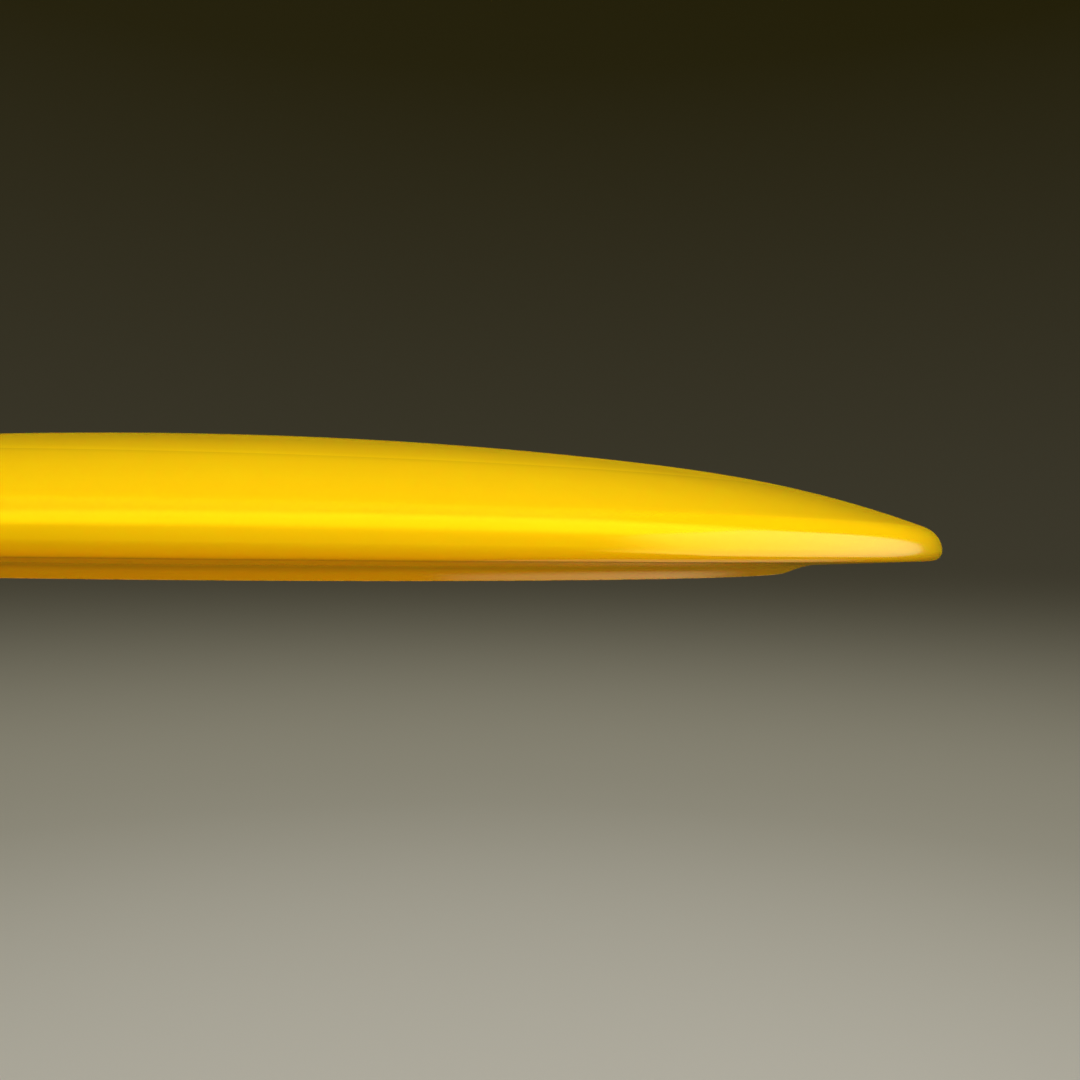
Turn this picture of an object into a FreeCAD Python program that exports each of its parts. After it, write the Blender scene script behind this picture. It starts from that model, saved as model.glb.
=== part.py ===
import FreeCAD, Part
import math
import os

from FreeCAD import Vector

# Golf disc (a wide-rimmed distance driver), moulded in two shots.
# Frame: origin at the centre of the plane that the rim stands on, +Z up along the disc's axis.
# Every outline below is half of the disc's section: (distance from the axis, height).

# Driving dimensions, in millimetres and degrees
DISC_DIAMETER = 212.0
OVERALL_HEIGHT = 19.5
DOME_RADIUS = 535.0            # curvature of the flight plate's top, through the apex
SHOULDER_RADIUS = 76.5         # where the dome passes into the wing
WING_CURVATURE = 124.0         # curvature of the wing's top
NOSE_CURVATURE = 3.4           # rounding of the nose above its widest point
NOSE_UNDERSIDE_HEIGHT = 2.36   # height of the lower wing, carried out to the full diameter
FLANK_TOP_RADIUS = 87.65       # where the lower wing would meet the rim's outer flank
FLANK_TOP_HEIGHT = 1.42
FLANK_CURVATURE = 13.6         # concave blend between the lower wing and the flank
LAND_OUTER_RADIUS = 84.28      # where the flank would meet the plane that the disc rests on
LAND_EDGE_CURVATURE = 1.0      # rounding between the flank and the resting ring
PLATE_THICKNESS = 2.0
RIM_INNER_RADIUS = 82.4        # inner wall of the rim, at the top of its draft
WALL_DRAFT = math.radians(1.5)
PLATE_CORNER_CURVATURE = 2.5   # fillet between the inner wall and the flight plate
RIM_EDGE_CURVATURE = 0.8       # rounding between the inner wall and the resting ring

# Joint between the two shots
JOINT_RADIUS = 89.3            # joint line, above and below
JOINT_GROOVE_HALF_WIDTH = 0.8
JOINT_GROOVE_DEPTH = 0.03
TONGUE_TIP_RADIUS = 98.0       # how far the core's tongue reaches into the rim
TONGUE_THICKNESS = 2.4
TONGUE_MID_HEIGHT = 5.3
LOCK_HOLE_COUNT = 24
LOCK_HOLE_RADIUS = 2.0
LOCK_HOLE_CENTRE_RADIUS = 93.4

# Mark that the injection gate leaves under the middle of the plate
GATE_RECESS_RADIUS = 6.0
GATE_RECESS_DEPTH = 0.3
GATE_STUB_RADIUS = 1.6
GATE_STUB_HEIGHT = 0.6

DISC_RADIUS = DISC_DIAMETER / 2
AXIS = (Vector(0, 0, 0), Vector(0, 0, 1))
CLEAR = 5.0                    # how far cutting outlines run past the disc


def at(position):
    """3-D point of a (radius, height) pair."""
    return Vector(position[0], 0, position[1])


def on_circle(centre, radius, angle):
    return (centre[0] + radius * math.cos(angle), centre[1] + radius * math.sin(angle))


def line(start, end):
    return Part.LineSegment(at(start), at(end)).toShape()


def arc(centre, radius, start_angle, end_angle):
    angles = (start_angle, (start_angle + end_angle) / 2, end_angle)
    return Part.Arc(*[at(on_circle(centre, radius, angle)) for angle in angles]).toShape()


def outline(corners):
    """Flat face inside a polygon of (radius, height) corners."""
    return Part.Face(Part.makePolygon([at(corner) for corner in corners + corners[:1]]))


def revolve(face):
    return face.revolve(*AXIS, 360)


def only_solid(shape):
    """The single solid of a result, with its split faces joined again."""
    if len(shape.Solids) != 1:
        raise ValueError("expected one solid, found %d" % len(shape.Solids))
    return shape.Solids[0].removeSplitter()


# ---- circles of the section, each tangent to the next ----

DOME_CENTRE = (0.0, OVERALL_HEIGHT - DOME_RADIUS)
SHOULDER_ANGLE = math.acos(SHOULDER_RADIUS / DOME_RADIUS)
WING_CENTRE = on_circle(DOME_CENTRE, DOME_RADIUS - WING_CURVATURE, SHOULDER_ANGLE)


def centre_under_wing(centre_radius, gap):
    """Centre at a given radius of a circle that lies inside the wing's circle by that gap."""
    across = centre_radius - WING_CENTRE[0]
    return (centre_radius, WING_CENTRE[1] + math.sqrt((WING_CURVATURE - gap) ** 2 - across ** 2))


def angle_from_wing(position):
    return math.atan2(position[1] - WING_CENTRE[1], position[0] - WING_CENTRE[0])


def wing_top(radius):
    return centre_under_wing(radius, 0)[1]


# The lower wing is a straight line from the full diameter, and a concave blend joins it to the flank
LOWER_WING_SLOPE = math.atan2(NOSE_UNDERSIDE_HEIGHT - FLANK_TOP_HEIGHT, DISC_RADIUS - FLANK_TOP_RADIUS)
FLANK_SLOPE = math.atan2(FLANK_TOP_HEIGHT, FLANK_TOP_RADIUS - LAND_OUTER_RADIUS)
BLEND_REACH = FLANK_CURVATURE * math.tan((FLANK_SLOPE - LOWER_WING_SLOPE) / 2)
BLEND_START = on_circle((FLANK_TOP_RADIUS, FLANK_TOP_HEIGHT), BLEND_REACH, LOWER_WING_SLOPE)
BLEND_CENTRE = on_circle(BLEND_START, FLANK_CURVATURE, LOWER_WING_SLOPE - math.pi / 2)
LAND_FLAT_RADIUS = LAND_OUTER_RADIUS - LAND_EDGE_CURVATURE * math.tan(FLANK_SLOPE / 2)


def rim_underside(radius):
    """Height of the lower wing or, further in, of the concave blend. The joint lies on the blend."""
    if radius > BLEND_START[0]:
        return NOSE_UNDERSIDE_HEIGHT - (DISC_RADIUS - radius) * math.tan(LOWER_WING_SLOPE)
    return BLEND_CENTRE[1] + math.sqrt(FLANK_CURVATURE ** 2 - (radius - BLEND_CENTRE[0]) ** 2)


def nose_edges():
    """Nose: the wing's end, the rounding to the widest point, and the rounding to the lower wing."""
    upper = centre_under_wing(DISC_RADIUS - NOSE_CURVATURE, NOSE_CURVATURE)
    wing_end = angle_from_wing(upper)
    lower_angle = LOWER_WING_SLOPE - math.pi / 2
    drop = upper[1] - NOSE_UNDERSIDE_HEIGHT
    lower_curvature = drop * math.tan(math.pi / 4 + LOWER_WING_SLOPE / 2)
    lower = (DISC_RADIUS - lower_curvature, upper[1])
    print("nose: widest at height %.2f, lower rounding %.2f" % (upper[1], lower_curvature))
    edges = [arc(WING_CENTRE, WING_CURVATURE, SHOULDER_ANGLE, wing_end),
             arc(upper, NOSE_CURVATURE, wing_end, 0),
             arc(lower, lower_curvature, 0, lower_angle)]
    return edges, on_circle(lower, lower_curvature, lower_angle)


def flank_edges(nose_end):
    """Lower wing, concave blend and flank, down to the ring that the disc rests on."""
    first = LOWER_WING_SLOPE + math.pi / 2
    last = FLANK_SLOPE + math.pi / 2
    foot = (LAND_FLAT_RADIUS, LAND_EDGE_CURVATURE)
    foot_start = FLANK_SLOPE - math.pi / 2
    return [line(nose_end, BLEND_START),
            arc(BLEND_CENTRE, FLANK_CURVATURE, first, last),
            line(on_circle(BLEND_CENTRE, FLANK_CURVATURE, last),
                 on_circle(foot, LAND_EDGE_CURVATURE, foot_start)),
            arc(foot, LAND_EDGE_CURVATURE, foot_start, -math.pi / 2)]


def inner_edges():
    """Resting ring, inner wall of the rim and underside of the flight plate, in to the axis."""
    gap = PLATE_THICKNESS + PLATE_CORNER_CURVATURE
    corner = centre_under_wing(RIM_INNER_RADIUS - PLATE_CORNER_CURVATURE, gap)
    wall_top = on_circle(corner, PLATE_CORNER_CURVATURE, WALL_DRAFT)
    wall_run = (wall_top[1] - RIM_EDGE_CURVATURE) * math.tan(WALL_DRAFT)
    edge = (wall_top[0] + wall_run + RIM_EDGE_CURVATURE / math.cos(WALL_DRAFT), RIM_EDGE_CURVATURE)
    wall_foot = on_circle(edge, RIM_EDGE_CURVATURE, math.pi + WALL_DRAFT)
    corner_angle = angle_from_wing(corner)
    rim_depth = on_circle(WING_CENTRE, WING_CURVATURE - PLATE_THICKNESS, corner_angle)[1]
    print("rim: width %.1f, depth %.1f, resting ring %.2f wide"
          % (DISC_RADIUS - wall_foot[0], rim_depth, LAND_FLAT_RADIUS - edge[0]))
    print("resting ring: from radius %.2f to %.2f" % (edge[0], LAND_FLAT_RADIUS))
    return [line((LAND_FLAT_RADIUS, 0), (edge[0], 0)),
            arc(edge, RIM_EDGE_CURVATURE, 3 * math.pi / 2, math.pi + WALL_DRAFT),
            line(wall_foot, wall_top),
            arc(corner, PLATE_CORNER_CURVATURE, WALL_DRAFT, corner_angle),
            arc(WING_CENTRE, WING_CURVATURE - PLATE_THICKNESS, corner_angle, SHOULDER_ANGLE),
            arc(DOME_CENTRE, DOME_RADIUS - PLATE_THICKNESS, SHOULDER_ANGLE, math.pi / 2),
            line((0, OVERALL_HEIGHT - PLATE_THICKNESS), (0, OVERALL_HEIGHT))]


def disc_section():
    """Half section of the whole disc, both shots together."""
    nose, nose_end = nose_edges()
    dome = [arc(DOME_CENTRE, DOME_RADIUS, math.pi / 2, SHOULDER_ANGLE)]
    return Part.Face(Part.Wire(dome + nose + flank_edges(nose_end) + inner_edges()))


def joint_groove(surface, outwards):
    """Wide, very shallow V along the joint line, where the plastic shrank as it cooled."""
    inner = JOINT_RADIUS - JOINT_GROOVE_HALF_WIDTH
    outer = JOINT_RADIUS + JOINT_GROOVE_HALF_WIDTH
    clear = outwards * CLEAR
    return outline([(inner, surface(inner)),
                    (JOINT_RADIUS, surface(JOINT_RADIUS) - outwards * JOINT_GROOVE_DEPTH),
                    (outer, surface(outer)),
                    (outer, surface(outer) + clear),
                    (inner, surface(inner) + clear)])


def core_region():
    """Everything inside the joint line, and the round-tipped tongue that reaches into the rim."""
    half = TONGUE_THICKNESS / 2
    inside = outline([(0, -CLEAR), (JOINT_RADIUS, -CLEAR),
                      (JOINT_RADIUS, OVERALL_HEIGHT + CLEAR), (0, OVERALL_HEIGHT + CLEAR)])
    tip = (TONGUE_TIP_RADIUS - half, TONGUE_MID_HEIGHT)
    low = TONGUE_MID_HEIGHT - half
    high = TONGUE_MID_HEIGHT + half
    tongue = Part.Face(Part.Wire([line((JOINT_RADIUS, low), (tip[0], low)),
                                  arc(tip, half, -math.pi / 2, math.pi / 2),
                                  line((tip[0], high), (JOINT_RADIUS, high)),
                                  line((JOINT_RADIUS, high), (JOINT_RADIUS, low))]))
    cover = wing_top(tip[0]) - high
    floor = low - rim_underside(tip[0])
    print("tongue: %.1f of rim above it, %.1f below it" % (cover, floor))
    return inside.fuse(tongue).removeSplitter()


def lock_pillars():
    """Round pillars that fill the core's locking holes, as tall as the tongue is thick."""
    low = TONGUE_MID_HEIGHT - TONGUE_THICKNESS / 2
    foot = Vector(LOCK_HOLE_CENTRE_RADIUS, 0, low)
    pillar = Part.makeCylinder(LOCK_HOLE_RADIUS, TONGUE_THICKNESS, foot)
    pillars = []
    for index in range(LOCK_HOLE_COUNT):
        turned = pillar.copy()
        turned.rotate(*AXIS, index * 360 / LOCK_HOLE_COUNT)
        pillars.append(turned)
    return pillars


def gate_mark(core):
    """Shallow round recess under the middle of the plate, with the trimmed stub of the gate."""
    underside = OVERALL_HEIGHT - PLATE_THICKNESS
    recess_top = underside + GATE_RECESS_DEPTH
    recess = Part.makeCylinder(GATE_RECESS_RADIUS, CLEAR, Vector(0, 0, recess_top - CLEAR))
    stub = Part.makeCylinder(GATE_STUB_RADIUS, GATE_STUB_HEIGHT, Vector(0, 0, recess_top - GATE_STUB_HEIGHT))
    return core.cut(recess).fuse(stub)


def make_disc():
    grooved = disc_section()
    for surface, outwards in ((wing_top, 1), (rim_underside, -1)):
        grooved = grooved.cut(joint_groove(surface, outwards))
    inside = core_region()
    core = revolve(grooved.common(inside).Faces[0])
    rim = revolve(grooved.cut(inside).Faces[0])
    pillars = lock_pillars()
    core_plate = gate_mark(core.cut(pillars))
    outer_rim = rim.fuse(pillars)
    return {"core_plate": only_solid(core_plate), "outer_rim": only_solid(outer_rim)}


os.makedirs("parts", exist_ok=True)
for node, solid in make_disc().items():
    if not solid.isValid():
        raise ValueError(node + " isn't a valid solid")
    solid.exportStep("parts/%s.step" % node)
    box = solid.optimalBoundingBox()
    print("%s: %.1f cm3, height %.2f to %.2f, radius to %.2f"
          % (node, solid.Volume / 1000, box.ZMin, box.ZMax, box.XMax))
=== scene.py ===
# %% [markdown]
# # A golf disc, moulded in two shots
# A golf disc is a throwing disc with a thin domed plate and a wide, sharp-nosed rim. This one is made of
# two pieces of plastic. The core is moulded first: the flight plate, and the inner wall of the rim. The
# outer rim is then moulded around the core's edge. This lesson turns both pieces on an imaginary lathe,
# gives them a glossy yellow plastic, and lights them softly.
#
# The imported CAD model comes first. It fixes where everything is.

# %% Load the frame
import math

import bmesh
import bpy
from mathutils import Matrix, Vector


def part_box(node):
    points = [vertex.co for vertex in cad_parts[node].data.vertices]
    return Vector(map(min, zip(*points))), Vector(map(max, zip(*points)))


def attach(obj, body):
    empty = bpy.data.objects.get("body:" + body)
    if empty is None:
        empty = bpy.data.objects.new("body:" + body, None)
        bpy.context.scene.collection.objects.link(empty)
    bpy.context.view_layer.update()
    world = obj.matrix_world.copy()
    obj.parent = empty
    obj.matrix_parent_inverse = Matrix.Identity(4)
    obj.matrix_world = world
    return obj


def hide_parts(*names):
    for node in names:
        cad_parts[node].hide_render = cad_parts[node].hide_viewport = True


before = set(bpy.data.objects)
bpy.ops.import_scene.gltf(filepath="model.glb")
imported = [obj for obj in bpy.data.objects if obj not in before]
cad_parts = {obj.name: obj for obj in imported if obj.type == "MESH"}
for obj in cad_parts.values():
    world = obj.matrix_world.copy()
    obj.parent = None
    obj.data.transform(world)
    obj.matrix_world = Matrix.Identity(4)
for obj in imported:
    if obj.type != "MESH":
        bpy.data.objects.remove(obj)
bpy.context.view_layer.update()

print("CAD nodes:", sorted(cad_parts))

# %% [markdown]
# ## Sizes
# The diameter and the height are read from the CAD nodes. The curves of the section are named here, in
# metres. Blender's unit is the metre, so a millimetre is written as a factor.

# %% Sizes of the disc
MM = 0.001
DISC_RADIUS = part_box("outer_rim")[1].x
DISC_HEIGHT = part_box("core_plate")[1].z
JOINT_RADIUS = 89.3 * MM
PLATE_THICKNESS = 2.0 * MM
print("disc: radius %.1f mm, height %.1f mm" % (DISC_RADIUS / MM, DISC_HEIGHT / MM))

# %% [markdown]
# ## The circles of the section
# The top of the disc is three arcs that run into each other with no corner: the dome, the wing and the
# nose. Two arcs meet smoothly when their centres and the meeting point are on one line, so each centre
# is found from the one before it. Points here are pairs: distance from the axis, and height.

# %% Circles of the top
DOME_CURVATURE = 535.0 * MM
SHOULDER_RADIUS = 76.5 * MM
WING_CURVATURE = 124.0 * MM
NOSE_CURVATURE = 3.4 * MM


def on_circle(centre, radius, angle):
    return Vector((centre[0] + radius * math.cos(angle), centre[1] + radius * math.sin(angle)))


dome_centre = Vector((0, DISC_HEIGHT - DOME_CURVATURE))
shoulder_angle = math.acos(SHOULDER_RADIUS / DOME_CURVATURE)
wing_centre = on_circle(dome_centre, DOME_CURVATURE - WING_CURVATURE, shoulder_angle)


def under_wing(radius, gap):
    """Point at that distance from the axis, as far inside the wing's circle as the gap."""
    across = radius - wing_centre.x
    return Vector((radius, wing_centre.y + math.sqrt((WING_CURVATURE - gap) ** 2 - across ** 2)))


def wing_angle(point):
    return math.atan2(point.y - wing_centre.y, point.x - wing_centre.x)


nose_centre = under_wing(DISC_RADIUS - NOSE_CURVATURE, NOSE_CURVATURE)
print("the nose is widest %.2f mm above the resting ring" % (nose_centre.y / MM))

# %% [markdown]
# ## A pen for drawing sections
# A lathe part needs only half of its section. It could be a hand-made list of points, but then every
# curve would be a guess. Here a pen draws it: extrude_vert_indiv pulls a new vertex out of the last one
# for a straight run, and spin sweeps the last vertex round a centre for an arc, so arcs are true.

# %% The pen
FINE_RUN = 1.2 * MM
TURN_STEP = math.radians(6)


class Outline:
    """A half section in the plane y = 0, drawn clockwise from its first point."""

    def __init__(self, start, longest_run=FINE_RUN):
        self.longest_run = longest_run
        self.mesh = bmesh.new()
        self.first = self.mesh.verts.new((start[0], 0, start[1]))
        self.pen = self.first

    def line(self, end):
        """Straight run to a point, cut into short steps so that its shading stays flat."""
        here = self.pen.co.copy()
        there = Vector((end[0], 0, end[1]))
        steps = max(1, math.ceil((there - here).length / self.longest_run))
        for step in range(steps):
            self.pen = bmesh.ops.extrude_vert_indiv(self.mesh, verts=[self.pen])["verts"][0]
            self.pen.co = here.lerp(there, (step + 1) / steps)
        return self

    def arc(self, centre, start_angle, end_angle):
        """Arc about a centre. The angles are those of its two ends, seen from the centre."""
        centre = Vector((centre[0], 0, centre[1]))
        turn = start_angle - end_angle
        length = abs(turn) * (self.pen.co - centre).length
        steps = max(2, math.ceil(abs(turn) / TURN_STEP), math.ceil(length / self.longest_run))
        swept = bmesh.ops.spin(self.mesh, geom=[self.pen], cent=centre, axis=(0, 1, 0),
                               angle=turn, steps=steps)
        self.pen = [part for part in swept["geom_last"] if isinstance(part, bmesh.types.BMVert)][0]
        return self

    def close(self):
        self.mesh.edges.new((self.pen, self.first))
        return self


# %% [markdown]
# ## The lathe
# Spin turns the whole outline about the disc's axis. A full turn needs use_merge, or the last row of
# faces isn't joined to the first and a seam shows in the gloss. Where the outline touches the axis, the
# spin leaves a stack of vertices on one spot, so doubles are merged before the normals are made to point
# outwards. The corners that should stay crisp are marked by their angle.

# %% Turn an outline into a piece
TURN_COUNT = 360
CRISP_ANGLE = math.radians(25)


def turn_on_lathe(outline, name):
    mesh = outline.mesh
    bmesh.ops.spin(mesh, geom=mesh.verts[:] + mesh.edges[:], cent=(0, 0, 0), axis=(0, 0, 1),
                   angle=math.tau, steps=TURN_COUNT, use_merge=True)
    bmesh.ops.remove_doubles(mesh, verts=mesh.verts, dist=0.001 * MM)
    bmesh.ops.recalc_face_normals(mesh, faces=mesh.faces)
    for face in mesh.faces:
        face.smooth = True
    open_edges = [edge for edge in mesh.edges if len(edge.link_faces) != 2]
    data = bpy.data.meshes.new(name)
    mesh.to_mesh(data)
    mesh.free()
    data.set_sharp_from_angle(angle=CRISP_ANGLE)
    piece = bpy.data.objects.new(name, data)
    bpy.context.scene.collection.objects.link(piece)
    print("%s: %d faces, %d open edges" % (name, len(data.polygons), len(open_edges)))
    return piece


# %% [markdown]
# ## The joint
# Molten plastic alone would peel off, so the core has a tongue that the rim flows round. Outside, all
# that shows is a wide and very shallow V, where the plastic shrank over the joint. It is drawn as one
# short run in each outline, because a bevel afterwards would have to find that ring of edges again. The
# V starts from the real surface on each side, so that no outline doubles back over itself.

# %% Sizes of the joint
GROOVE_HALF_WIDTH = 0.8 * MM
GROOVE_DEPTH = 0.03 * MM
TONGUE_TIP_RADIUS = 98.0 * MM
TONGUE_HALF = 1.2 * MM
TONGUE_MID_HEIGHT = 5.3 * MM

tongue_tip = Vector((TONGUE_TIP_RADIUS - TONGUE_HALF, TONGUE_MID_HEIGHT))
tongue_top = TONGUE_MID_HEIGHT + TONGUE_HALF
tongue_bottom = TONGUE_MID_HEIGHT - TONGUE_HALF
print("the tongue reaches %.1f mm past the joint" % ((TONGUE_TIP_RADIUS - JOINT_RADIUS) / MM))

# %% [markdown]
# ## The lower wing and the flank
# Under the nose the rim is almost flat. Further in it sweeps down, through a hollow blend, to the narrow
# ring that the disc stands on. The blend's centre is found the way a draughtsman finds a fillet: the
# reach along each line is the fillet's radius times the tangent of half the turn.

# %% Lines of the underside
NOSE_UNDERSIDE_HEIGHT = 2.36 * MM
FLANK_TOP = Vector((87.65, 1.42)) * MM
FLANK_CURVATURE = 13.6 * MM
LAND_OUTER_RADIUS = 84.28 * MM
LAND_EDGE_CURVATURE = 1.0 * MM

lower_slope = math.atan2(NOSE_UNDERSIDE_HEIGHT - FLANK_TOP.y, DISC_RADIUS - FLANK_TOP.x)
flank_slope = math.atan2(FLANK_TOP.y, FLANK_TOP.x - LAND_OUTER_RADIUS)
blend_reach = FLANK_CURVATURE * math.tan((flank_slope - lower_slope) / 2)
blend_start = on_circle(FLANK_TOP, blend_reach, lower_slope)
blend_centre = on_circle(blend_start, FLANK_CURVATURE, lower_slope - math.pi / 2)
land_flat_radius = LAND_OUTER_RADIUS - LAND_EDGE_CURVATURE * math.tan(flank_slope / 2)
foot_centre = Vector((land_flat_radius, LAND_EDGE_CURVATURE))


def rim_underside(radius):
    """Point on the lower wing or, further in, on the hollow blend, where the joint comes out below."""
    if radius > blend_start.x:
        return Vector((radius, NOSE_UNDERSIDE_HEIGHT - (DISC_RADIUS - radius) * math.tan(lower_slope)))
    across = radius - blend_centre.x
    return Vector((radius, blend_centre.y + math.sqrt(FLANK_CURVATURE ** 2 - across ** 2)))


def blend_angle(point):
    return math.atan2(point.y - blend_centre.y, point.x - blend_centre.x)


nose_drop = nose_centre.y - NOSE_UNDERSIDE_HEIGHT
nose_lower_curvature = nose_drop * math.tan(math.pi / 4 + lower_slope / 2)
print("lower rounding of the nose: %.2f mm" % (nose_lower_curvature / MM))

# %% [markdown]
# ## The outer rim
# This is the wing, the nose and the lower wing, drawn from the joint line on top, round the nose, and
# back to the joint line below. Inside, the outline follows the core's tongue.

# %% Make the outer rim
groove_top = under_wing(JOINT_RADIUS, 0) - Vector((0, GROOVE_DEPTH))
groove_bottom = rim_underside(JOINT_RADIUS) + Vector((0, GROOVE_DEPTH))
rim_top_edge = under_wing(JOINT_RADIUS + GROOVE_HALF_WIDTH, 0)
lower_nose_centre = Vector((DISC_RADIUS - nose_lower_curvature, nose_centre.y))

rim_outline = Outline(groove_top)
rim_outline.line(rim_top_edge)
rim_outline.arc(wing_centre, wing_angle(rim_top_edge), wing_angle(nose_centre))
rim_outline.arc(nose_centre, wing_angle(nose_centre), 0)
rim_outline.arc(lower_nose_centre, 0, lower_slope - math.pi / 2)
rim_outline.line(rim_underside(JOINT_RADIUS + GROOVE_HALF_WIDTH))
rim_outline.line(groove_bottom)
rim_outline.line((JOINT_RADIUS, tongue_bottom))
rim_outline.line((tongue_tip.x, tongue_bottom))
rim_outline.arc(tongue_tip, math.pi * 1.5, math.pi * 2.5)
rim_outline.line((JOINT_RADIUS, tongue_top))
rim_outline.close()
outer_rim = turn_on_lathe(rim_outline, "moulded_outer_rim")

# %% [markdown]
# ## The core
# The core starts and ends on the axis, at the crown and at the gate mark, where the plastic was injected.
# The mark is a shallow round recess with the trimmed stub of the gate standing in it.

# %% Sizes of the core's underside
RIM_INNER_RADIUS = 82.4 * MM
WALL_DRAFT = math.radians(1.5)
PLATE_CORNER = 2.5 * MM
RIM_EDGE = 0.8 * MM
GATE_RECESS_RADIUS = 6.0 * MM
GATE_RECESS_DEPTH = 0.3 * MM
GATE_STUB_RADIUS = 1.6 * MM
GATE_STUB_HEIGHT = 0.6 * MM
GATE_STUB_TAPER = 0.9

corner_centre = under_wing(RIM_INNER_RADIUS - PLATE_CORNER, PLATE_THICKNESS + PLATE_CORNER)
wall_top = on_circle(corner_centre, PLATE_CORNER, WALL_DRAFT)
wall_run = (wall_top.y - RIM_EDGE) * math.tan(WALL_DRAFT)
edge_centre = Vector((wall_top.x + wall_run + RIM_EDGE / math.cos(WALL_DRAFT), RIM_EDGE))
plate_inner_curvature = DOME_CURVATURE - PLATE_THICKNESS
recess_angle = math.acos(GATE_RECESS_RADIUS / plate_inner_curvature)
recess_top = DISC_HEIGHT - PLATE_THICKNESS + GATE_RECESS_DEPTH
stub_end = recess_top - GATE_STUB_HEIGHT

# %% Make the core
core_top_edge = under_wing(JOINT_RADIUS - GROOVE_HALF_WIDTH, 0)
core_bottom_edge = rim_underside(JOINT_RADIUS - GROOVE_HALF_WIDTH)
core_outline = Outline((0, DISC_HEIGHT))
core_outline.arc(dome_centre, math.pi / 2, shoulder_angle)
core_outline.arc(wing_centre, shoulder_angle, wing_angle(core_top_edge))
core_outline.line(groove_top)
core_outline.line((JOINT_RADIUS, tongue_top))
core_outline.line((tongue_tip.x, tongue_top))
core_outline.arc(tongue_tip, math.pi / 2, -math.pi / 2)
core_outline.line((JOINT_RADIUS, tongue_bottom))
core_outline.line(groove_bottom)
core_outline.line(core_bottom_edge)
core_outline.arc(blend_centre, blend_angle(core_bottom_edge), flank_slope + math.pi / 2)
core_outline.line(on_circle(foot_centre, LAND_EDGE_CURVATURE, flank_slope - math.pi / 2))
core_outline.arc(foot_centre, flank_slope - math.pi / 2, -math.pi / 2)
core_outline.line((edge_centre.x, 0))
core_outline.arc(edge_centre, math.pi * 1.5, math.pi + WALL_DRAFT)
core_outline.line(wall_top)
core_outline.arc(corner_centre, WALL_DRAFT, wing_angle(corner_centre))
core_outline.arc(wing_centre, wing_angle(corner_centre), shoulder_angle)
core_outline.arc(dome_centre, shoulder_angle, recess_angle)
core_outline.line((GATE_RECESS_RADIUS, recess_top))
core_outline.line((GATE_STUB_RADIUS, recess_top))
core_outline.line((GATE_STUB_RADIUS * GATE_STUB_TAPER, stub_end))
core_outline.line((0, stub_end))
core_plate = turn_on_lathe(core_outline, "moulded_core_plate")

# %% [markdown]
# ## Tie the pieces to the frame
# Nothing in a disc moves, so both pieces ride on the one body. Each replaces its own CAD node, which
# stays in the physics model.

# %% Ride and replace
for piece, node, slot in ((core_plate, "core_plate", "core_plastic"),
                          (outer_rim, "outer_rim", "rim_plastic")):
    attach(piece, "root")
    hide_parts(node)
    print(piece.name, "replaces", node)

# %% [markdown]
# ## A node group for the plastic's colour
# Moulded plastic is never one flat colour. The pigment is mixed unevenly, which shows as faint clouds,
# and it is drawn out along the flow, from the gate in the middle towards the nose. Both are subtle. The
# group takes the two colours and the strength, so that the core and the rim can share it.


# %% Small helpers for node trees
def add_node(tree, kind, **settings):
    node = tree.nodes.new(kind)
    for name, value in settings.items():
        setattr(node, name, value)
    return node


def set_inputs(node, **values):
    for name, value in values.items():
        node.inputs[name.replace("_", " ")].default_value = value
    return node


def new_group(name, inputs, outputs):
    """A shader group with named sockets, and its input and output nodes."""
    group = bpy.data.node_groups.new(name, "ShaderNodeTree")
    for socket, kind in inputs:
        group.interface.new_socket(socket, in_out="INPUT", socket_type=kind)
    for socket, kind in outputs:
        group.interface.new_socket(socket, in_out="OUTPUT", socket_type=kind)
    return group, add_node(group, "NodeGroupInput"), add_node(group, "NodeGroupOutput")


def math_node(tree, operation, first, second=None):
    """A Math node. Each argument is a number, or a socket to link."""
    node = add_node(tree, "ShaderNodeMath", operation=operation)
    for socket, value in zip(node.inputs, (first, second)):
        if isinstance(value, bpy.types.NodeSocket):
            tree.links.new(value, socket)
        elif value is not None:
            socket.default_value = value
    return node.outputs[0]


def smooth_ramp(tree, value, start, end, low=0.0, high=1.0):
    ramp = set_inputs(add_node(tree, "ShaderNodeMapRange", interpolation_type="SMOOTHSTEP"),
                      From_Min=start, From_Max=end, To_Min=low, To_Max=high)
    tree.links.new(value, ramp.inputs["Value"])
    return ramp.outputs["Result"]


# %% Pigment colour group
CLOUDS_PER_METRE = 22.0
STREAKS_PER_TURN = 9.0
EVEN_SHARE = 0.5


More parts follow.
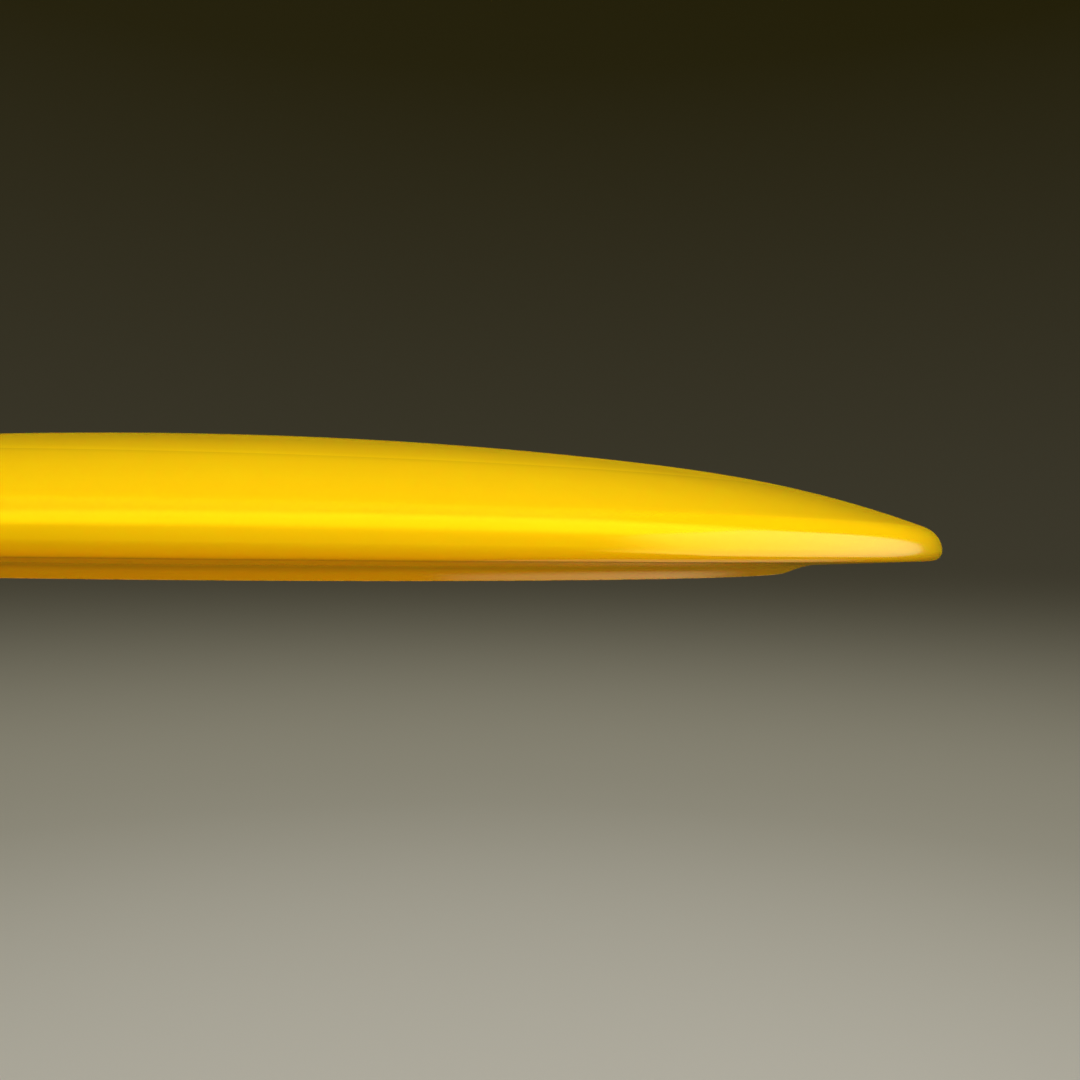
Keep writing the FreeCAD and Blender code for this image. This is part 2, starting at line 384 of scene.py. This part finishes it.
def pigment_group():
    tree, given, result = new_group(
        "moulded_pigment",
        (("Position", "NodeSocketVector"), ("Light", "NodeSocketColor"), ("Deep", "NodeSocketColor"),
         ("Unevenness", "NodeSocketFloat")),
        (("Color", "NodeSocketColor"),))
    clouds = set_inputs(add_node(tree, "ShaderNodeTexNoise"), Scale=CLOUDS_PER_METRE, Detail=4.0,
                        Roughness=0.55, Distortion=0.4)
    tree.links.new(given.outputs["Position"], clouds.inputs["Vector"])
    direction = add_node(tree, "ShaderNodeVectorMath", operation="NORMALIZE")
    tree.links.new(given.outputs["Position"], direction.inputs[0])
    streaks = set_inputs(add_node(tree, "ShaderNodeTexNoise"), Scale=STREAKS_PER_TURN, Detail=6.0,
                         Roughness=0.7)
    tree.links.new(direction.outputs[0], streaks.inputs["Vector"])
    both = math_node(tree, "ADD", clouds.outputs["Fac"], streaks.outputs["Fac"])
    centred = math_node(tree, "SUBTRACT", both, 1.0)
    swing = math_node(tree, "MULTIPLY", centred, given.outputs["Unevenness"])
    share = math_node(tree, "ADD", swing, EVEN_SHARE)
    mix = add_node(tree, "ShaderNodeMix", data_type="RGBA", clamp_factor=True)
    tree.links.new(share, mix.inputs["Factor"])
    tree.links.new(given.outputs["Light"], mix.inputs["A"])
    tree.links.new(given.outputs["Deep"], mix.inputs["B"])
    tree.links.new(mix.outputs["Result"], result.inputs["Color"])
    return tree


# %% [markdown]
# ## A node group for the surface
# The mould was turned on a lathe and polished, so the plastic is glossy, but a close look shows three
# things. Faint rings run round the disc where the cutting tool passed. A very slight waviness bends the
# highlights, from the plastic shrinking as it cooled. Soft smudges from hands are a little duller than
# the rest. The rings follow the distance from the axis, so their noise is one-dimensional. Rings and
# waves leave the group as a height for a Bump node, and the smudges as a roughness.

# %% Surface group
RINGS_PER_METRE = 700.0
WAVES_PER_METRE = 45.0
SMUDGES_PER_METRE = 34.0
WAVE_SHARE = 6.0


def surface_group():
    tree, given, result = new_group(
        "turned_and_handled",
        (("Position", "NodeSocketVector"), ("Gloss", "NodeSocketFloat"), ("Smudges", "NodeSocketFloat")),
        (("Roughness", "NodeSocketFloat"), ("Height", "NodeSocketFloat")))
    flat = add_node(tree, "ShaderNodeVectorMath", operation="MULTIPLY")
    flat.inputs[1].default_value = (1.0, 1.0, 0.0)
    radius = add_node(tree, "ShaderNodeVectorMath", operation="LENGTH")
    rings = set_inputs(add_node(tree, "ShaderNodeTexNoise", noise_dimensions="1D"),
                       Scale=RINGS_PER_METRE, Detail=3.0, Roughness=0.6)
    waves = set_inputs(add_node(tree, "ShaderNodeTexNoise"), Scale=WAVES_PER_METRE, Detail=1.0)
    smudges = set_inputs(add_node(tree, "ShaderNodeTexNoise"), Scale=SMUDGES_PER_METRE, Detail=5.0,
                         Distortion=1.2)
    for socket in (flat.inputs[0], waves.inputs["Vector"], smudges.inputs["Vector"]):
        tree.links.new(given.outputs["Position"], socket)
    tree.links.new(flat.outputs["Vector"], radius.inputs[0])
    tree.links.new(radius.outputs["Value"], rings.inputs["W"])
    dulling = math_node(tree, "MULTIPLY", smudges.outputs["Fac"], given.outputs["Smudges"])
    roughness = math_node(tree, "ADD", dulling, given.outputs["Gloss"])
    swell = math_node(tree, "MULTIPLY", waves.outputs["Fac"], WAVE_SHARE)
    tree.links.new(roughness, result.inputs["Roughness"])
    tree.links.new(math_node(tree, "ADD", rings.outputs["Fac"], swell), result.inputs["Height"])
    return tree


# %% [markdown]
# ## A node group for resting wear and a painted highlight
# Every time the disc is put down it stands on the same narrow ring, so that ring loses its polish first.
# The group finds it by its height, breaks it up with a fine noise, and there makes the plastic duller,
# which is wear, and a little paler, which is a painted highlight along the ring's edge. A mask painted by
# hand would do it too, but height costs nothing and can't slip.

# %% Resting wear and painted highlight group
WEAR_HEIGHT = 0.12 * MM
SCUFFS_PER_METRE = 500.0
WORN_ROUGHNESS = 0.45
SCUFF_START, SCUFF_FULL = 0.4, 0.6


def wear_and_highlight_group():
    tree, given, result = new_group(
        "resting_wear_and_highlight",
        (("Position", "NodeSocketVector"), ("Color", "NodeSocketColor"), ("Worn", "NodeSocketColor"),
         ("Roughness", "NodeSocketFloat")),
        (("Color", "NodeSocketColor"), ("Roughness", "NodeSocketFloat")))
    parts = add_node(tree, "ShaderNodeSeparateXYZ")
    scuffs = set_inputs(add_node(tree, "ShaderNodeTexNoise"), Scale=SCUFFS_PER_METRE, Detail=4.0)
    for socket in (parts.inputs[0], scuffs.inputs["Vector"]):
        tree.links.new(given.outputs["Position"], socket)
    low = smooth_ramp(tree, parts.outputs["Z"], 0.0, WEAR_HEIGHT, 1.0, 0.0)
    broken = smooth_ramp(tree, scuffs.outputs["Fac"], SCUFF_START, SCUFF_FULL)
    # Low, scuffed part of the ring: worn there, and given a painted highlight.
    wear_and_highlight_mask = math_node(tree, "MULTIPLY", low, broken)
    # Paler colour on the ring: partly wear, partly a painted highlight along its edge.
    paler_highlight = add_node(tree, "ShaderNodeMix", data_type="RGBA")
    tree.links.new(wear_and_highlight_mask, paler_highlight.inputs["Factor"])
    tree.links.new(given.outputs["Color"], paler_highlight.inputs["A"])
    tree.links.new(given.outputs["Worn"], paler_highlight.inputs["B"])
    tree.links.new(paler_highlight.outputs["Result"], result.inputs["Color"])
    duller = math_node(tree, "MULTIPLY", wear_and_highlight_mask, WORN_ROUGHNESS)
    roughness = math_node(tree, "ADD", duller, given.outputs["Roughness"])
    tree.links.new(roughness, result.inputs["Roughness"])
    return tree


# %% [markdown]
# ## The two plastics
# The plastic lets a little light in and scatters it, most of all red, so its shaded side glows orange
# instead of turning grey. Subsurface scattering on the Principled shader does that. The highlights on
# such a saturated plastic look yellow too, because the pigment lies right under the skin, so the
# specular is tinted. All of these are the same everywhere, so they are set on the shader's own sockets.

# %% Make the plastics
RIM_LIGHT = (0.97, 0.60, 0.002, 1.0)
RIM_DEEP = (0.94, 0.56, 0.002, 1.0)
CORE_LIGHT = (0.95, 0.59, 0.002, 1.0)
CORE_DEEP = (0.91, 0.54, 0.002, 1.0)
# Paler colour of the resting ring: scuff wear, and a painted highlight along its edge.
CORE_WORN_HIGHLIGHT = (0.95, 0.66, 0.08, 1.0)
HIGHLIGHT_TINT = (1.0, 0.85, 0.05, 1.0)
GLOW_DEPTH = 2.0 * MM
GLOW_SHARE = 0.3
GLOW_REACH = (1.0, 0.35, 0.05)
PLASTIC_IOR = 1.49
UNEVENNESS = 0.9
RING_HEIGHT = 0.0015 * MM
CORE_GLOSS, CORE_SMUDGES = 0.09, 0.08
RIM_GLOSS, RIM_SMUDGES = 0.08, 0.06

pigment = pigment_group()
surface = surface_group()
wear_and_highlight = wear_and_highlight_group()


def plastic(name, light, deep, worn_highlight, gloss, smudges):
    material = bpy.data.materials.new(name)
    material.use_nodes = True
    tree = material.node_tree
    shader = tree.nodes["Principled BSDF"]
    position = add_node(tree, "ShaderNodeTexCoord").outputs["Object"]
    colour = set_inputs(add_node(tree, "ShaderNodeGroup", node_tree=pigment), Light=light, Deep=deep,
                        Unevenness=UNEVENNESS)
    finish = set_inputs(add_node(tree, "ShaderNodeGroup", node_tree=surface), Gloss=gloss,
                        Smudges=smudges)
    bump = set_inputs(add_node(tree, "ShaderNodeBump"), Strength=1.0, Distance=RING_HEIGHT)
    # Resting wear, and the painted highlight on the ring's edge.
    rubbed_and_highlighted = set_inputs(add_node(tree, "ShaderNodeGroup", node_tree=wear_and_highlight), Worn=worn_highlight)
    for node in (colour, finish, rubbed_and_highlighted):
        tree.links.new(position, node.inputs["Position"])
    tree.links.new(colour.outputs["Color"], rubbed_and_highlighted.inputs["Color"])
    tree.links.new(finish.outputs["Roughness"], rubbed_and_highlighted.inputs["Roughness"])
    tree.links.new(rubbed_and_highlighted.outputs["Color"], shader.inputs["Base Color"])
    tree.links.new(rubbed_and_highlighted.outputs["Roughness"], shader.inputs["Roughness"])
    tree.links.new(finish.outputs["Height"], bump.inputs["Height"])
    tree.links.new(bump.outputs["Normal"], shader.inputs["Normal"])
    set_inputs(shader, IOR=PLASTIC_IOR, Specular_IOR_Level=1.0, Specular_Tint=HIGHLIGHT_TINT,
               Subsurface_Weight=GLOW_SHARE, Subsurface_Radius=GLOW_REACH,
               Subsurface_Scale=GLOW_DEPTH)
    return material


core_plastic = plastic("core_yellow_plastic", CORE_LIGHT, CORE_DEEP, CORE_WORN_HIGHLIGHT, CORE_GLOSS,
                       CORE_SMUDGES)
rim_plastic = plastic("rim_yellow_plastic", RIM_LIGHT, RIM_DEEP, RIM_LIGHT, RIM_GLOSS, RIM_SMUDGES)
for piece, material in ((core_plate, core_plastic), (outer_rim, rim_plastic)):
    piece.data.materials.append(material)
    print(piece.name, "is made of", material.name)

# %% [markdown]
# ## The studio
# The floor is a wide pale dish, a little below the disc, whose edge curves up into a wall all round, so
# no view has a hard horizon behind the disc. The wall is painted darker than the floor, in one smooth
# change of shade, because a glossy thing's edges read best against a quiet background. Light off a pale
# floor would grey the yellow, so the floor is hidden from glossy and from diffuse rays.

# %% Floor and wall
FLOOR_DROP = 0.35
FLOOR_RADIUS = 1.2
COVE_RADIUS = 1.3
WALL_TOP = 1.7
SHADE_START, SHADE_END = -0.36, -0.02
FLOOR_COLOUR = (0.80, 0.79, 0.77, 1.0)
WALL_COLOUR = (0.20, 0.19, 0.165, 1.0)

floor_outline = Outline((0, -FLOOR_DROP), longest_run=0.2)
floor_outline.line((FLOOR_RADIUS, -FLOOR_DROP))
floor_outline.arc((FLOOR_RADIUS, COVE_RADIUS - FLOOR_DROP), -math.pi / 2, 0)
floor_outline.line((FLOOR_RADIUS + COVE_RADIUS, WALL_TOP))
studio_floor = turn_on_lathe(floor_outline, "studio_floor")
studio_floor.visible_glossy = False
studio_floor.visible_diffuse = False


def studio_paint(floor_colour, wall_colour):
    material = bpy.data.materials.new("studio_paint")
    material.use_nodes = True
    tree = material.node_tree
    shader = set_inputs(tree.nodes["Principled BSDF"], Roughness=0.9, Specular_IOR_Level=0.1)
    height = add_node(tree, "ShaderNodeSeparateXYZ")
    mix = set_inputs(add_node(tree, "ShaderNodeMix", data_type="RGBA"), A=floor_colour, B=wall_colour)
    tree.links.new(add_node(tree, "ShaderNodeTexCoord").outputs["Object"], height.inputs[0])
    shade = smooth_ramp(tree, height.outputs["Z"], SHADE_START, SHADE_END)
    tree.links.new(shade, mix.inputs["Factor"])
    tree.links.new(mix.outputs["Result"], shader.inputs["Base Color"])
    return material


studio_floor.data.materials.append(studio_paint(FLOOR_COLOUR, WALL_COLOUR))

# %% [markdown]
# ## Panels that glow
# Three of the lights are seen in the gloss, so they are panels of real size, not lamps: what the disc
# mirrors is their shape. A panel's place is given as a compass direction, an elevation and a distance,
# and it is turned to face the disc. Its brightness is a radiance, which can change across the panel. A
# panel casts no shadow, or the long one would stand in the key lamp's light. The side and the low panel
# cut through the floor, where their edges would show, so light linking keeps every panel to the disc.

# %% Lights that only reach the disc
disc_only = bpy.data.collections.new("lit_disc")
for piece in (core_plate, outer_rim):
    disc_only.objects.link(piece)


# %% Place a thing round the disc
def facing_disc(azimuth, elevation, distance):
    """Place and turn for something that looks at the disc. Azimuth 0 is +Y and 90 is +X."""
    across = math.cos(math.radians(elevation))
    away = Vector((math.sin(math.radians(azimuth)) * across, math.cos(math.radians(azimuth)) * across,
                   math.sin(math.radians(elevation))))
    return Matrix.Translation(away * distance) @ away.to_track_quat("Z", "Y").to_matrix().to_4x4()


# %% Make a glowing panel
def glowing_panel(name, corners, place, colour, lights_matte=True):
    """A flat panel with these corners. Returns its node tree and the emission's strength socket."""
    mesh = bmesh.new()
    start = mesh.verts.new((*corners[0], 0))
    pen = start
    for corner in corners[1:]:
        pen = bmesh.ops.extrude_vert_indiv(mesh, verts=[pen])["verts"][0]
        pen.co = (*corner, 0)
    mesh.edges.new((pen, start))
    bmesh.ops.contextual_create(mesh, geom=mesh.edges[:])
    data = bpy.data.meshes.new(name)
    mesh.to_mesh(data)
    mesh.free()
    panel = bpy.data.objects.new(name, data)
    panel.matrix_world = place
    panel.visible_camera = False
    panel.visible_shadow = False
    panel.visible_diffuse = lights_matte
    panel.light_linking.receiver_collection = disc_only
    bpy.context.scene.collection.objects.link(panel)
    glow = bpy.data.materials.new(name + "_glow")
    glow.use_nodes = True
    glow.node_tree.nodes.clear()
    emission = set_inputs(add_node(glow.node_tree, "ShaderNodeEmission"), Color=colour)
    output = add_node(glow.node_tree, "ShaderNodeOutputMaterial")
    glow.node_tree.links.new(emission.outputs[0], output.inputs["Surface"])
    data.materials.append(glow)
    print("%s: %d corners" % (name, len(corners)))
    return glow.node_tree, emission.inputs["Strength"]


def panel_axis(tree, axis):
    """The distance from the panel's centre along its X or Y, as a socket."""
    parts = add_node(tree, "ShaderNodeSeparateXYZ")
    tree.links.new(add_node(tree, "ShaderNodeTexCoord").outputs["Object"], parts.inputs[0])
    return parts.outputs[axis]


def rectangle(half_length, half_width):
    return ((-half_length, -half_width), (half_length, -half_width),
            (half_length, half_width), (-half_length, half_width))


# %% [markdown]
# ## The long light
# A long soft panel, above and in front, gives the bright band along the nose. The band fades on both
# sides, so the panel is brightest along its middle and fades to nothing at its long edges. It is only
# for the gloss. The key lamp, in nearly the same direction, gives the light that falls on the rest.

# %% Long panel
LONG_HALF_LENGTH = 1.25
LONG_HALF_WIDTH = 0.42
LONG_BRIGHT_HALF = 0.12
LONG_RADIANCE = 3.0
LONG_TILT = math.radians(13)
LONG_SHIFT = (-0.14, -0.08, 0)
LONG_COLOUR = (1.0, 0.88, 0.1, 1.0)

long_corners = rectangle(LONG_HALF_LENGTH, LONG_HALF_WIDTH)
long_place = (facing_disc(160, 60.7, 0.8) @ Matrix.Translation(LONG_SHIFT)
              @ Matrix.Rotation(-LONG_TILT, 4, "Z"))
tree, strength = glowing_panel("long_panel", long_corners, long_place, LONG_COLOUR, lights_matte=False)
aside = math_node(tree, "ABSOLUTE", panel_axis(tree, "Y"))
tree.links.new(smooth_ramp(tree, aside, LONG_BRIGHT_HALF, LONG_HALF_WIDTH, LONG_RADIANCE, 0.0), strength)

# %% [markdown]
# ## The side light
# A tall panel on the right is mirrored in the rim as a clear patch with a hard end. The far end of the
# mirrored patch is seen at a glancing angle, where gloss is strongest, so the panel is dimmer there.

# %% Side panel
SIDE_DISTANCE = 0.7
SIDE_FAR, SIDE_NEAR = -0.20, 0.95
SIDE_BOTTOM, SIDE_TOP = -0.6, 0.47
SIDE_CUT_TOP, SIDE_CUT_BOTTOM = 0.39, 0.38
SIDE_DIM, SIDE_BRIGHT = 0.45, 2.7
SIDE_BRIGHT_FROM, SIDE_FADE_FROM = 0.45, 0.55
SIDE_COLOUR = (1.0, 0.94, 0.75, 1.0)

side_corners = [(-across, up) for across, up in (
    (SIDE_FAR, SIDE_TOP - SIDE_CUT_TOP), (SIDE_FAR + SIDE_CUT_TOP, SIDE_TOP), (SIDE_NEAR, SIDE_TOP),
    (SIDE_NEAR, SIDE_BOTTOM), (SIDE_FAR + SIDE_CUT_BOTTOM, SIDE_BOTTOM),
    (SIDE_FAR, SIDE_BOTTOM + SIDE_CUT_BOTTOM))]
side_place = facing_disc(85, 0, SIDE_DISTANCE)
tree, strength = glowing_panel("side_panel", side_corners, side_place, SIDE_COLOUR)
nearness = math_node(tree, "MULTIPLY", panel_axis(tree, "X"), -1.0)
brightness = set_inputs(add_node(tree, "ShaderNodeMapRange"), From_Min=SIDE_FAR,
                        From_Max=SIDE_BRIGHT_FROM, To_Min=SIDE_DIM, To_Max=SIDE_BRIGHT)
tree.links.new(nearness, brightness.inputs["Value"])
end_fade = smooth_ramp(tree, nearness, SIDE_FADE_FROM, SIDE_NEAR, 1.0, 0.0)
tree.links.new(math_node(tree, "MULTIPLY", brightness.outputs["Result"], end_fade), strength)

# %% [markdown]
# ## The low light
# A dim panel, low and behind the disc on the right, is mirrored only at glancing angles. It picks out
# the under edge of the nose and the outer edge of the resting ring with a thin pale line. It fades out
# towards its top, because the flank just above that line mirrors a dark place.

# %% Low panel
LOW_HALF_LENGTH, LOW_HALF_WIDTH = 0.48, 0.36
LOW_SOLID_HALF = 0.2
LOW_FADE_START = 0.1
LOW_RADIANCE = 0.35
LOW_TILT = math.radians(25)
LOW_COLOUR = (1.0, 0.95, 0.8, 1.0)

low_corners = rectangle(LOW_HALF_LENGTH, LOW_HALF_WIDTH)
low_place = facing_disc(44, -36, 1.2) @ Matrix.Rotation(LOW_TILT, 4, "Z")
tree, strength = glowing_panel("low_panel", low_corners, low_place, LOW_COLOUR, lights_matte=False)
aside = math_node(tree, "ABSOLUTE", panel_axis(tree, "X"))
along_fade = smooth_ramp(tree, aside, LOW_SOLID_HALF, LOW_HALF_LENGTH, LOW_RADIANCE, 0.0)
top_fade = smooth_ramp(tree, panel_axis(tree, "Y"), LOW_FADE_START, LOW_HALF_WIDTH, 1.0, 0.0)
tree.links.new(math_node(tree, "MULTIPLY", along_fade, top_fade), strength)

# %% [markdown]
# ## The lamps
# Four lamps light everything that isn't gloss: the key, one overhead, one in front, and a small warm one
# below, which keeps the underside orange as light from a sunlit table would. They are hidden from glossy
# rays, so they add no more highlights. The front and the lower lamp cut through the floor, so those two
# are linked to the disc, while the key and the overhead lamp light the floor as well. A flat lamp gives
# off its radiance times pi times its area, so its power is worked out from the radiance wanted.


# %% Lamps
def soft_lamp(name, size, radiance, colour, place, reaches=None):
    lamp = bpy.data.lights.new(name, "AREA")
    lamp.shape = "SQUARE"
    lamp.size = size
    lamp.energy = radiance * math.pi * size * size
    lamp.color = colour
    light = bpy.data.objects.new(name, lamp)
    light.matrix_world = place
    light.visible_camera = False
    light.visible_glossy = False
    light.light_linking.receiver_collection = reaches
    bpy.context.scene.collection.objects.link(light)
    print("%s: %.1f W" % (name, lamp.energy))


WARM_WHITE = (1.0, 0.96, 0.85)
PLAIN_WHITE = (1.0, 1.0, 1.0)
TABLE_ORANGE = (1.0, 0.45, 0.1)

soft_lamp("key_lamp", 1.2, 1.5, WARM_WHITE, facing_disc(170, 60, 0.9))
soft_lamp("overhead_lamp", 1.6, 1.3, PLAIN_WHITE, facing_disc(0, 90, 1.3))
soft_lamp("front_lamp", 1.2, 1.25, PLAIN_WHITE, facing_disc(180, -5, 1.2), disc_only)
soft_lamp("under_lamp", 0.4, 1.35, TABLE_ORANGE, facing_disc(190, -70, 0.35), disc_only)

# %% [markdown]
# ## The fill
# The world adds a weak yellow light from every side. It stands for the light that a yellow thing and its
# surroundings pass to and fro, and it keeps the deepest shade from going black.

# %% Soft fill from everywhere
FILL_RADIANCE = 0.07
FILL_COLOUR = (1.0, 0.85, 0.08, 1.0)

world = bpy.data.worlds.new("studio_fill")
world.use_nodes = True
set_inputs(world.node_tree.nodes["Background"], Color=FILL_COLOUR, Strength=FILL_RADIANCE)
bpy.context.scene.world = world
print("fill radiance:", FILL_RADIANCE)

# %% [markdown]
# ## The camera
# The camera is close, about 74 mm from the nearest point of the rim and level with it, so the disc fills
# the view and its left side runs out of it. At that distance the lens matters: near parts grow quickly.

# %% Camera
CAMERA_DISTANCE = 180.0 * MM
CAMERA_HEIGHT = 3.49 * MM
CAMERA_YAW = math.radians(13.98)
CAMERA_PITCH = math.radians(0.40)
CAMERA_ROLL = math.radians(0.74)
LENS = 33.03
SENSOR_WIDTH = 36.0

camera_data = bpy.data.cameras.new("camera")
camera_data.lens = LENS
camera_data.sensor_width = SENSOR_WIDTH
camera_data.clip_start = 5 * MM
camera_data.clip_end = 50.0
camera = bpy.data.objects.new("camera", camera_data)
camera.matrix_world = (Matrix.Translation((0, -CAMERA_DISTANCE, CAMERA_HEIGHT))
                       @ Matrix.Rotation(-CAMERA_YAW, 4, "Z")
                       @ Matrix.Rotation(math.pi / 2 + CAMERA_PITCH, 4, "X")
                       @ Matrix.Rotation(CAMERA_ROLL, 4, "Z"))
bpy.context.scene.collection.objects.link(camera)
bpy.context.scene.camera = camera
bpy.context.scene.view_settings.view_transform = "Standard"
print("camera %.0f mm from the axis" % (CAMERA_DISTANCE / MM))
